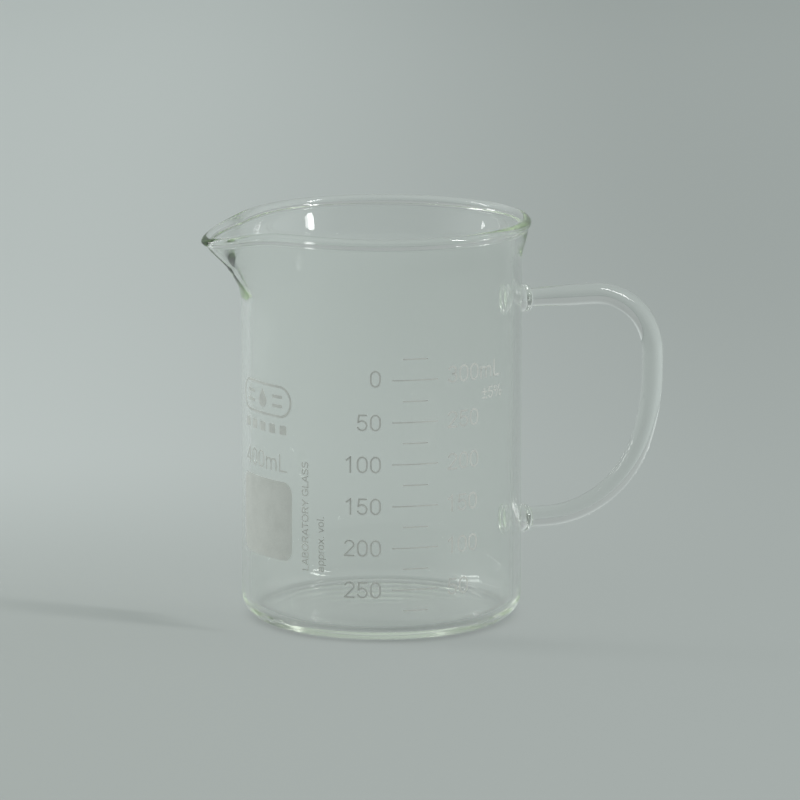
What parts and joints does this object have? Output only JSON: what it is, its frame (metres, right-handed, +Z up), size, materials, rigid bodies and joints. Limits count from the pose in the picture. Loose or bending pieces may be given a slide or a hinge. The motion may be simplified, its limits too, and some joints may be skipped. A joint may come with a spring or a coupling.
{
  "type": "laboratory beaker with handle",
  "caption": "Clear glass laboratory beaker with a pouring spout, a bent glass rod handle welded to the wall, and a printed volume scale.",
  "frame": {"origin": "centre of the base, on the surface that the beaker stands on", "axes": "+Z up, +X towards the handle, -X towards the pouring spout, the printed scale faces -Y"},
  "size_m": [0.1364, 0.083, 0.1123],
  "materials": {
    "clear_glass": "clear borosilicate glass, fire polished",
    "white_enamel": "white fired enamel, satin"
  },
  "bodies": {
    "root": {"vessel": "clear_glass", "handle": "clear_glass", "upper_handle_pad": "clear_glass", "lower_handle_pad": "clear_glass", "scale_lines": "white_enamel", "content_numbers": "white_enamel", "poured_numbers": "white_enamel", "tolerance_mark": "white_enamel", "capacity_mark": "white_enamel", "writing_patch": "white_enamel", "plain_emblem": "white_enamel", "glass_type_note": "white_enamel", "approx_volume_note": "white_enamel"}
  },
  "joints": []
}
